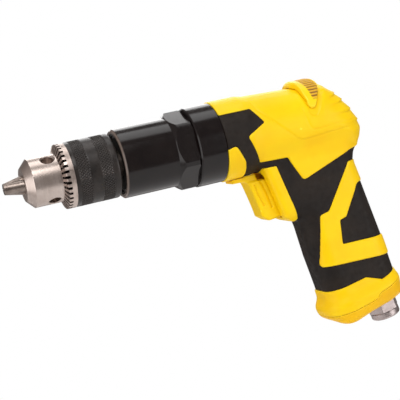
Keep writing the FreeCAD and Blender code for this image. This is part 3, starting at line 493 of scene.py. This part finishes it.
class Finish:
    """A node material with short calls for the nodes that every finish here is made of."""

    def __init__(self, name, roughness, metallic=0.0, specular=0.5):
        self.material = bpy.data.materials.new(name)
        self.material.use_nodes = True
        self.nodes = self.material.node_tree.nodes
        self.links = self.material.node_tree.links
        self.shader = self.nodes["Principled BSDF"]
        self.place = self.nodes.new("ShaderNodeTexCoord").outputs["Object"]
        self.set("Roughness", roughness)
        self.set("Metallic", metallic)
        self.set("Specular IOR Level", specular)

    def set(self, name, value):
        self.shader.inputs[name].default_value = value

    def noise(self, scale, detail, roughness=0.55, stretch=(1, 1, 1)):
        """Noise in object space; scale is in features per metre."""
        spread = self.nodes.new("ShaderNodeVectorMath")
        spread.operation = "MULTIPLY"
        spread.inputs[1].default_value = stretch
        self.links.new(self.place, spread.inputs[0])
        noise = self.nodes.new("ShaderNodeTexNoise")
        noise.inputs["Scale"].default_value = scale
        noise.inputs["Detail"].default_value = detail
        noise.inputs["Roughness"].default_value = roughness
        self.links.new(spread.outputs[0], noise.inputs["Vector"])
        return noise.outputs["Fac"]

    def ramp(self, value, low, high, start, end):
        """Value mapped from low..high to start..end."""
        node = self.nodes.new("ShaderNodeMapRange")
        for i, number in enumerate((low, high, start, end), start=1):
            node.inputs[i].default_value = number
        self.links.new(value, node.inputs[0])
        return node.outputs[0]

    def math(self, operation, a, b):
        """Blender's maths node on two values, each a number or a socket."""
        node = self.nodes.new("ShaderNodeMath")
        node.operation = operation
        for socket, value in zip(node.inputs, (a, b)):
            if isinstance(value, (int, float)):
                socket.default_value = value
            else:
                self.links.new(value, socket)
        return node.outputs[0]

    def mix(self, factor, a, b):
        """Colour a where factor is 0 and b where it is 1."""
        node = self.nodes.new("ShaderNodeMix")
        node.data_type = "RGBA"
        self.links.new(factor, node.inputs[0])
        for socket, value in ((node.inputs[6], a), (node.inputs[7], b)):
            if isinstance(value, tuple):
                socket.default_value = value
            else:
                self.links.new(value, socket)
        return node.outputs[2]

    def coordinate(self, axis):
        """One coordinate in object space, in metres."""
        node = self.nodes.new("ShaderNodeSeparateXYZ")
        self.links.new(self.place, node.inputs[0])
        return node.outputs[axis]

    def pointiness(self, low, high, start, end):
        geometry = self.nodes.new("ShaderNodeNewGeometry")
        return self.ramp(geometry.outputs["Pointiness"], low, high, start, end)

    def edges(self, low, high):
        """1 on sharp outward edges."""
        return self.pointiness(low, high, 0, 1)

    def hollows(self, low, high):
        """1 in creases and grooves."""
        return self.pointiness(low, high, 1, 0)

    def colour(self, value):
        self.links.new(value, self.shader.inputs["Base Color"])

    def rough(self, value):
        self.links.new(value, self.shader.inputs["Roughness"])

    def bump(self, height, strength, distance):
        """Fine relief; distance is its height in metres."""
        node = self.nodes.new("ShaderNodeBump")
        node.inputs["Strength"].default_value = strength
        node.inputs["Distance"].default_value = distance
        self.links.new(height, node.inputs["Height"])
        self.links.new(node.outputs[0], self.shader.inputs["Normal"])


def yellow_plastic(name, shade, other_shade):
    """Glossy moulded nylon with a very fine grain, painted shade in the hollows and a painted highlight
    along the edges.
    """
    finish = Finish(name, roughness=0.42, specular=0.22)
    cloud = finish.ramp(finish.noise(35, 4), 0.35, 0.65, 0, 1)
    body = finish.mix(cloud, srgb(*shade), srgb(*other_shade))
    # Painted shade: creases and the hollows between the fins darkened to a deep orange.
    body = finish.mix(finish.hollows(0.42, 0.485), body, srgb(206, 140, 4))
    # Painted highlight: sharp outward edges lightened, where the rounded rims catch the light.
    finish.colour(finish.mix(finish.edges(0.53, 0.62), body, srgb(255, 236, 60)))
    finish.rough(finish.ramp(finish.noise(420, 2), 0.3, 0.7, 0.36, 0.5))
    finish.bump(finish.noise(2600, 2), 0.08, 0.0001)
    return finish.material


def ribbed_yellow():
    """The body's yellow, with the ribbed band across the lever's crown in a darker orange and painted shade
    in the rib grooves.
    """
    finish = Finish("ribbed_yellow", roughness=0.36, specular=0.45)
    x, y, z = (finish.coordinate(axis) for axis in range(3))
    turn = finish.math("ABSOLUTE", finish.math("ARCTAN2", y, z), 0)
    arc = finish.math("MULTIPLY", turn, LEVER_RADIUS)
    station = finish.math("MULTIPLY", x, 1 / MM)
    phase = finish.math("MULTIPLY", finish.math("ADD", arc, 1.0), 2 * math.pi / RIB_PITCH)
    groove = finish.ramp(finish.math("COSINE", phase, 0), -1, 0.6, 1, 0)
    raked_station = finish.math("SUBTRACT", station, finish.math("MULTIPLY", arc, 0.13))
    band = finish.ramp(raked_station, 114.9, 115.9, 0, 1)
    band = finish.math("MULTIPLY", band, finish.ramp(arc, 24.5, 26.5, 1, 0))
    band = finish.math("MULTIPLY", band, finish.ramp(station, 125.5, 127, 1, 0))
    # Darker orange across the ribbed band.
    crest = finish.mix(band, srgb(255, 218, 4), srgb(228, 176, 28))
    # Painted shade in the bottoms of the rib grooves, inside the ribbed band.
    finish.colour(finish.mix(finish.math("MULTIPLY", band, groove), crest, srgb(140, 88, 10)))
    finish.rough(finish.ramp(finish.noise(420, 2), 0.3, 0.7, 0.3, 0.46))
    finish.bump(finish.noise(2600, 2), 0.08, 0.0001)
    return finish.material


def black_rubber():
    """Matt thermoplastic rubber with a moulded grain, paler where hands have rubbed it."""
    finish = Finish("black_rubber", roughness=0.62, specular=0.25)
    cloud = finish.ramp(finish.noise(60, 4), 0.35, 0.7, 0, 1)
    body = finish.mix(cloud, srgb(22, 16, 13), srgb(36, 28, 22))
    finish.colour(finish.mix(finish.edges(0.54, 0.64), body, srgb(56, 46, 39)))
    finish.rough(finish.ramp(finish.noise(300, 3), 0.3, 0.7, 0.5, 0.72))
    finish.bump(finish.noise(3200, 2), 0.25, 0.00012)
    return finish.material


def gloss_black():
    """Black oxide under clear lacquer, with a painted highlight along the front rim of the gear case."""
    finish = Finish("gloss_black", roughness=0.2, specular=0.36)
    cloud = finish.ramp(finish.noise(90, 4), 0.35, 0.7, 0, 1)
    body = finish.mix(cloud, srgb(14, 8, 8), srgb(22, 15, 14))
    # Painted highlight: the front millimetre of the gear case lightened to stand for the light on its rim
    # chamfer.
    rim = finish.ramp(finish.coordinate(0), CASE_FRONT + 0.0005, CASE_FRONT + 0.0012, 1, 0)
    finish.colour(finish.mix(rim, body, srgb(112, 98, 90)))
    finish.rough(finish.ramp(finish.noise(260, 4), 0.3, 0.7, 0.15, 0.2))
    finish.bump(finish.noise(700, 2), 0.04, 0.00005)
    return finish.material


def turned_steel():
    """Ground steel with fine turning lines round the spindle axis and a few dull patches."""
    finish = Finish("turned_steel", roughness=0.3, metallic=1.0)
    rings = finish.noise(5200, 3, 0.6, (1, 0.01, 0.01))
    patches = finish.ramp(finish.noise(70, 4), 0.35, 0.7, 0, 1)
    body = finish.mix(patches, srgb(206, 193, 186), srgb(178, 164, 156))
    finish.colour(finish.mix(finish.ramp(rings, 0.3, 0.7, 0, 0.3), body, srgb(150, 138, 130)))
    finish.rough(finish.ramp(rings, 0.3, 0.7, 0.26, 0.36))
    finish.bump(rings, 0.08, 0.00002)
    return finish.material


def hardened_steel():
    """Grey heat-treated steel for the gears, bearings and jaws."""
    finish = Finish("hardened_steel", roughness=0.33, metallic=1.0)
    patches = finish.ramp(finish.noise(220, 4), 0.3, 0.7, 0, 1)
    finish.colour(finish.mix(patches, srgb(152, 140, 132), srgb(118, 106, 100)))
    finish.rough(finish.ramp(finish.noise(800, 3), 0.3, 0.7, 0.3, 0.42))
    finish.bump(finish.noise(2200, 2), 0.05, 0.00004)
    return finish.material


def inlet_steel():
    """Bright plated steel with darker patches."""
    finish = Finish("inlet_steel", roughness=0.28, metallic=1.0)
    patches = finish.ramp(finish.noise(160, 4), 0.35, 0.7, 0, 1)
    finish.colour(finish.mix(patches, srgb(186, 174, 172), srgb(160, 148, 146)))
    finish.rough(finish.ramp(finish.noise(900, 3), 0.3, 0.7, 0.3, 0.38))
    finish.bump(finish.noise(3000, 2), 0.05, 0.00003)
    return finish.material


def grained(name, dark, light, scale, roughness, depth):
    """A dull material with one speckled grain: vanes, seals, felt."""
    finish = Finish(name, roughness=roughness, specular=0.3)
    grain = finish.ramp(finish.noise(scale, 5, 0.7), 0.3, 0.7, 0, 1)
    finish.colour(finish.mix(grain, srgb(*dark), srgb(*light)))
    finish.rough(finish.ramp(grain, 0, 1, roughness - 0.1, min(1.0, roughness + 0.1)))
    finish.bump(grain, 0.3, depth)
    return finish.material


def brass():
    """Turned brass with dull patches."""
    finish = Finish("brass", roughness=0.3, metallic=1.0)
    patches = finish.ramp(finish.noise(200, 4), 0.35, 0.7, 0, 1)
    finish.colour(finish.mix(patches, srgb(198, 164, 92), srgb(150, 118, 62)))
    finish.rough(finish.ramp(finish.noise(900, 3), 0.3, 0.7, 0.22, 0.42))
    finish.bump(finish.noise(1500, 3), 0.15, 0.00005)
    return finish.material


def backdrop():
    """Matt white floor with a trace of unevenness."""
    finish = Finish("backdrop", roughness=0.9, specular=0.1)
    finish.colour(finish.mix(finish.noise(3, 2), srgb(250, 250, 250), srgb(255, 255, 255)))
    return finish.material


def sleeve_steel():
    """Chuck sleeve: bright toothed ring in front with painted shade in the slots between its teeth,
    blackened and worn behind it.
    """
    finish = Finish("sleeve_steel", roughness=0.35, metallic=1.0)
    behind = finish.ramp(finish.coordinate(0), RING_REAR * MM - 0.0001, RING_REAR * MM + 0.0001, 0, 1)
    patches = finish.ramp(finish.noise(120, 4), 0.35, 0.7, 0, 1)
    steel = finish.mix(patches, srgb(196, 182, 174), srgb(166, 152, 144))
    # Painted shade in the slots between the ring's teeth, as far back as SLOT_END.
    turn = finish.math("ARCTAN2", finish.coordinate(1), finish.coordinate(2))
    wave = finish.math("COSINE", finish.math("MULTIPLY", turn, float(TEETH)), 0)
    slots = finish.math("MULTIPLY", finish.ramp(wave, 0.0, 0.3, 0, 1),
                        finish.ramp(finish.coordinate(0), SLOT_END * MM - 0.0003, SLOT_END * MM, 1, 0))
    bright = finish.mix(slots, steel, srgb(24, 19, 17))
    black = finish.mix(patches, srgb(30, 26, 24), srgb(46, 40, 37))
    worn = finish.mix(finish.edges(0.53, 0.62), black, srgb(110, 98, 90))
    finish.colour(finish.mix(behind, bright, worn))
    finish.links.new(finish.ramp(behind, 0, 1, 1.0, 0.35), finish.shader.inputs["Metallic"])
    finish.rough(finish.ramp(finish.noise(700, 3), 0.3, 0.7, 0.26, 0.46))
    finish.bump(finish.noise(1800, 2), 0.15, 0.00006)
    return finish.material


# ---------------------------------------------------------------- chuck sleeve

SLEEVE_RADIUS, SLEEVE_BORE, SLEEVE_REAR = 21.45, 18.65, -20.8
RING_FRONT, RING_RIM, RING_REAR = -58.6, -56.6, -51.2  # the toothed ring's face slopes back to its rim
RING_BORE, RING_SHOULDER = 16.25, -57.4
FACE_ROWS = 12
RIM_BEVEL = 0.25
TOOTH_DEPTH, TOOTH_TAPER = 2.3, 2.0  # the slots are deeper towards the bore
RIM_SLOT_DEPTH = 2.1
# SLOT_END also limits the painted shade in those slots.
SLOT_END = -54.1  # where the slots between the ring's teeth end
TEETH = 36
KNURLS = 72  # ridges round the sleeve, in each hand
KNURL_PITCH = 2.5  # along the sleeve
KNURLED = ((-48.6, -40.4), (-33.6, -25.2))
KNURL_STEP = 0.25  # between mesh rows where it is knurled
KNURL_DEPTH, KNURL_FADE, KNURL_CREST = 0.5, 0.6, 0.05
COLUMNS_PER_KNURL = 10
GROOVE, GROOVE_DEPTH = (-51.05, -50.9), 0.3  # behind the toothed ring
REAR_ROUNDING = ((-21.7, 21.3), (-21.15, 20.8), (-20.85, 20.0))  # (x, radius)


def saw(value):
    """0 at whole numbers and 1 half way between them."""
    return 1 - np.abs(2 * (value % 1) - 1)


def sleeve_rows():
    """Stations along the sleeve's outside, closer together where it is knurled."""
    rows = [-54.0, -52.6, -51.35, RING_REAR, *GROOVE, -49.6, -48.8]
    for start, end in KNURLED:
        rows += list(np.arange(start, end, KNURL_STEP))
        rows += [end, end + 0.3]
    rows += [-37.0, -34.0, -24.2, -23.2, -22.4]
    return sorted(rows)


def sleeve_radius(x, turn):
    """Outside radius at a station, for each turn (0 to 1) round the sleeve."""
    radius = SLEEVE_RADIUS - GROOVE_DEPTH * (x in GROOVE)
    for start, end in KNURLED:
        if start < x < end:
            fade = min(1, (x - start) / KNURL_FADE, (end - x) / KNURL_FADE)
            ridge = np.minimum(saw(turn * KNURLS + x / KNURL_PITCH), saw(turn * KNURLS - x / KNURL_PITCH))
            radius = radius + KNURL_CREST - fade * KNURL_DEPTH * (1 - np.minimum(1, ridge * 1.35))
    return radius


def chuck_sleeve(material):
    """Bevel-toothed ring and knurled sleeve, as rows of points round the spindle axis."""
    columns = KNURLS * COLUMNS_PER_KNURL
    turn = np.arange(columns) / columns
    gap = smooth_step(0.5, 0.62, 1 - saw(turn * TEETH))  # 1 between the teeth
    rows = []

    def row(x, radius):
        rows.append((x + 0 * turn, radius + 0 * turn))

    row(SLEEVE_REAR, SLEEVE_BORE)
    row(RING_SHOULDER, SLEEVE_BORE)
    row(RING_SHOULDER, RING_BORE)
    row(RING_FRONT + 0.3, RING_BORE)
    slope = (RING_RIM - RING_FRONT) / (SLEEVE_RADIUS - RING_BORE)
    for share in np.linspace(0.02, 0.96, FACE_ROWS):
        radius = RING_BORE + share * (SLEEVE_RADIUS - RING_BORE)
        depth = (TOOTH_DEPTH + TOOTH_TAPER * (1 - share)) * smooth_step(0, 0.12, share)
        row(RING_FRONT + slope * (radius - RING_BORE) + depth * gap, radius)
    row(RING_RIM + RIM_BEVEL + RIM_SLOT_DEPTH * gap, SLEEVE_RADIUS)
    for x in sleeve_rows():
        row(x, sleeve_radius(x, turn))
    for x, radius in REAR_ROUNDING:
        row(x, radius)
    angle = 2 * math.pi * turn
    points = [np.stack([x, r * np.sin(angle), r * np.cos(angle)], 1) for x, r in rows]
    here = np.arange(len(rows) * columns).reshape(len(rows), columns)
    ahead = np.roll(here, -1, 0)
    quads = np.stack([here, np.roll(here, -1, 1), np.roll(ahead, -1, 1), ahead], 2).reshape(-1, 4)
    sleeve = mesh_piece("knurled_sleeve", np.concatenate(points), quads, material, "sleeve", "chuck_sleeve")
    sleeve.data.set_sharp_from_angle(angle=math.radians(40))


# ---------------------------------------------------------------- camera, light and floor

LENS, SENSOR = 117, 36  # millimetres
CAMERA_AT = (-0.22933, -0.82875, 0.05566)
CAMERA_SIDE = math.radians(17.6)  # from square on to the left side, towards the nose
CAMERA_RISE = math.radians(6.0)
CAMERA_ROLL = math.radians(11.5)
LIGHTS_AIM = (0.04, 0, -0.04)
SOFTBOXES = [  # name, place, size in metres, power in watts
    ("key", (-0.25, -0.75, 0.9), (0.9, 0.6), 8.5), ("top", (0.15, 0.15, 0.95), (0.8, 0.5), 3),
    ("fill", (0.75, -0.8, 0.0), (0.7, 0.9), 4.5), ("nose", (-1.2, -0.35, -0.05), (0.7, 1.0), 3.5),
    ("back", (0.35, 0.95, 0.45), (0.9, 0.7), 5)]
ROOM_COLOUR = (0.86, 0.79, 0.76, 1)
ROOM_GLOW = (-0.95, -0.45, 0.65, 0.29)  # world direction X from and to, and the strength at each
FLOOR_HALF, FLOOR_HEIGHT = 0.75, -0.45


def camera():
    """A low three-quarter view from the left of the nose, rolled so that the nose points down."""
    data = bpy.data.cameras.new("camera")
    data.lens = LENS
    data.sensor_width = SENSOR
    piece = bpy.data.objects.new("camera", data)
    turn = Matrix.Rotation(-CAMERA_SIDE, 4, "Z") @ Matrix.Rotation(math.pi / 2 - CAMERA_RISE, 4, "X")
    piece.matrix_world = Matrix.Translation(CAMERA_AT) @ turn @ Matrix.Rotation(-CAMERA_ROLL, 4, "Z")
    bpy.context.scene.collection.objects.link(piece)
    bpy.context.scene.camera = piece


def softbox(name, place, size, power):
    """A rectangular area light aimed at the drill."""
    data = bpy.data.lights.new(name, "AREA")
    data.shape = "RECTANGLE"
    data.size, data.size_y = size
    data.energy = power
    piece = bpy.data.objects.new(name, data)
    piece.location = place
    piece.rotation_euler = (Vector(LIGHTS_AIM) - Vector(place)).to_track_quat("-Z", "Y").to_euler()
    bpy.context.scene.collection.objects.link(piece)


def studio():
    """White backdrop for the camera, a dimmer room for reflections, and softboxes all round."""
    world = bpy.data.worlds.new("studio")
    bpy.context.scene.world = world
    bpy.context.scene.view_settings.view_transform = "Standard"
    world.use_nodes = True
    nodes, links = world.node_tree.nodes, world.node_tree.links
    room = nodes["Background"]
    room.inputs["Color"].default_value = ROOM_COLOUR
    direction = nodes.new("ShaderNodeTexCoord")
    axes = nodes.new("ShaderNodeSeparateXYZ")
    glow = nodes.new("ShaderNodeMapRange")
    for i, number in enumerate(ROOM_GLOW, start=1):
        glow.inputs[i].default_value = number
    links.new(direction.outputs["Generated"], axes.inputs[0])
    links.new(axes.outputs["X"], glow.inputs[0])
    links.new(glow.outputs[0], room.inputs["Strength"])
    white = nodes.new("ShaderNodeBackground")
    white.inputs["Color"].default_value = (1, 1, 1, 1)
    path = nodes.new("ShaderNodeLightPath")
    choice = nodes.new("ShaderNodeMixShader")
    links.new(path.outputs["Is Camera Ray"], choice.inputs[0])
    links.new(room.outputs[0], choice.inputs[1])
    links.new(white.outputs[0], choice.inputs[2])
    links.new(choice.outputs[0], nodes["World Output"].inputs["Surface"])
    for name, place, size, power in SOFTBOXES:
        softbox(name, place, size, power)


def floor():
    """A square of pale floor well below the drill."""
    mesh = bpy.data.meshes.new("floor")
    signs = ((-1, -1), (1, -1), (1, 1), (-1, 1))
    corners = [(sx * FLOOR_HALF, sy * FLOOR_HALF, FLOOR_HEIGHT) for sx, sy in signs]
    mesh.from_pydata(corners, [], [(0, 1, 2, 3)])
    mesh.materials.append(backdrop())
    piece = bpy.data.objects.new("floor", mesh)
    bpy.context.scene.collection.objects.link(piece)


# ---------------------------------------------------------------- the drill

YELLOW_SHADES = ((255, 214, 2), (255, 204, 0))
# The foot cap's yellow, made darker as painted shade on its downward-facing sides.
SHADED_CAP_TONES = ((250, 196, 4), (244, 186, 2))
BODY_BOX = ((50.5, -29, -146), (170, 29, 30))
CAP_BOX = ((98, -24, -148), (172, 24, -112))
TRIGGER_BOX = ((54, -10, -62), (92, 10, -26))
LEVER_BOX = ((108, -29, 6), (131, 29, 31))


def dress():
    """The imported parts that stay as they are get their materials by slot."""
    by_slot = {
        "chuck_steel": turned_steel(),
        "gloss_black": gloss_black(),
        "gear_steel": hardened_steel(),
        "vane_composite": grained("vane_composite", (58, 34, 20), (96, 62, 38), 900, 0.6, 0.00008),
        "seal_rubber": grained("seal_rubber", (16, 16, 16), (34, 33, 32), 600, 0.7, 0.00006),
        "felt": grained("felt", (122, 118, 108), (168, 162, 150), 1500, 0.95, 0.0003),
        "brass": brass(),
        "inlet_steel": inlet_steel(),
        "yellow_plastic": yellow_plastic("yellow_plastic", *YELLOW_SHADES),
        "black_rubber": black_rubber(),
    }
    by_slot["yellow_parts"] = by_slot["yellow_plastic"]
    for subpart in frame["record"]["subparts"]:
        node = subpart["node"]
        finish = by_slot["gear_steel" if node.startswith("jaw") else subpart["material_slot"]]
        mesh = NODES[node].data
        mesh.materials.clear()
        mesh.materials.append(finish)
    return by_slot


def build():
    """The shaped pieces, each on its body and in place of its CAD node."""
    finishes = dress()
    yellow, rubber = finishes["yellow_plastic"], finishes["black_rubber"]
    # Painted shade: the foot cap gets a darker copy of the yellow.
    shaded_yellow = yellow_plastic("shaded_yellow_plastic", *SHADED_CAP_TONES)
    moulded("housing_shell", housing_field, *BODY_BOX, 0.7, yellow, "housing", "pistol_housing",
            "yellow_plastic")
    moulded("grip_overmould", overmould_field, *BODY_BOX, 0.7, rubber, "housing", "grip_rubber",
            "black_rubber")
    moulded("foot_cap", cap_field, *CAP_BOX, 0.5, shaded_yellow, "housing", "exhaust_cap", "yellow_plastic")
    moulded("finger_trigger", trigger_field, *TRIGGER_BOX, 0.4, yellow, "trigger", "trigger", "yellow_parts")
    moulded("saddle_lever", lever_field, *LEVER_BOX, 0.33, ribbed_yellow(), "lever", "reverse_lever",
            "yellow_parts")
    chuck_sleeve(sleeve_steel())


build()
floor()
studio()
camera()
